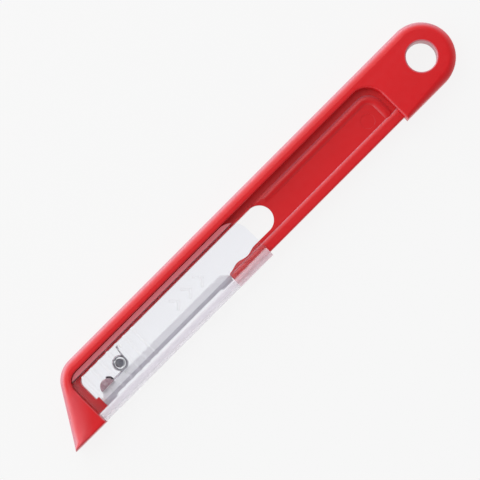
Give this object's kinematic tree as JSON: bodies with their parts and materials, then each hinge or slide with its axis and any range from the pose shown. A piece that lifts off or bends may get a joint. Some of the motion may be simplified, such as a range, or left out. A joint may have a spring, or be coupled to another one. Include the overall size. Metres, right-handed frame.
{
  "type": "grafting knife",
  "caption": "Flat red moulded pocket knife: a strip blade fixed across a long window, and a clear guard that slides back along the arm. Hanging hole in the round end.",
  "frame": {"origin": "centre of the knife's outline, on its back face", "axes": "+X along the knife towards the hanging hole, +Y towards the spine, +Z out of the front face"},
  "size_m": [0.1392, 0.0174, 0.007],
  "materials": {
    "red_plastic": "moulded red plastic, satin gloss",
    "clear_plastic": "clear polished plastic",
    "foot_plastic": "tinted translucent plastic",
    "blade_steel": "ground strip steel",
    "spring_steel": "drawn wire",
    "pin_steel": "turned pin"
  },
  "bodies": {
    "knife_handle": {"handle": "red_plastic", "blade": "blade_steel"},
    "sliding_guard": {"guard": "clear_plastic", "guide_foot": "foot_plastic", "torsion_spring": "spring_steel", "spring_pin": "pin_steel"}
  },
  "joints": [
    {"name": "guard_slide", "type": "slide", "parent": "knife_handle", "child": "sliding_guard", "axis": [1, 0, 0], "range_m": [0, 0.0473]}
  ]
}
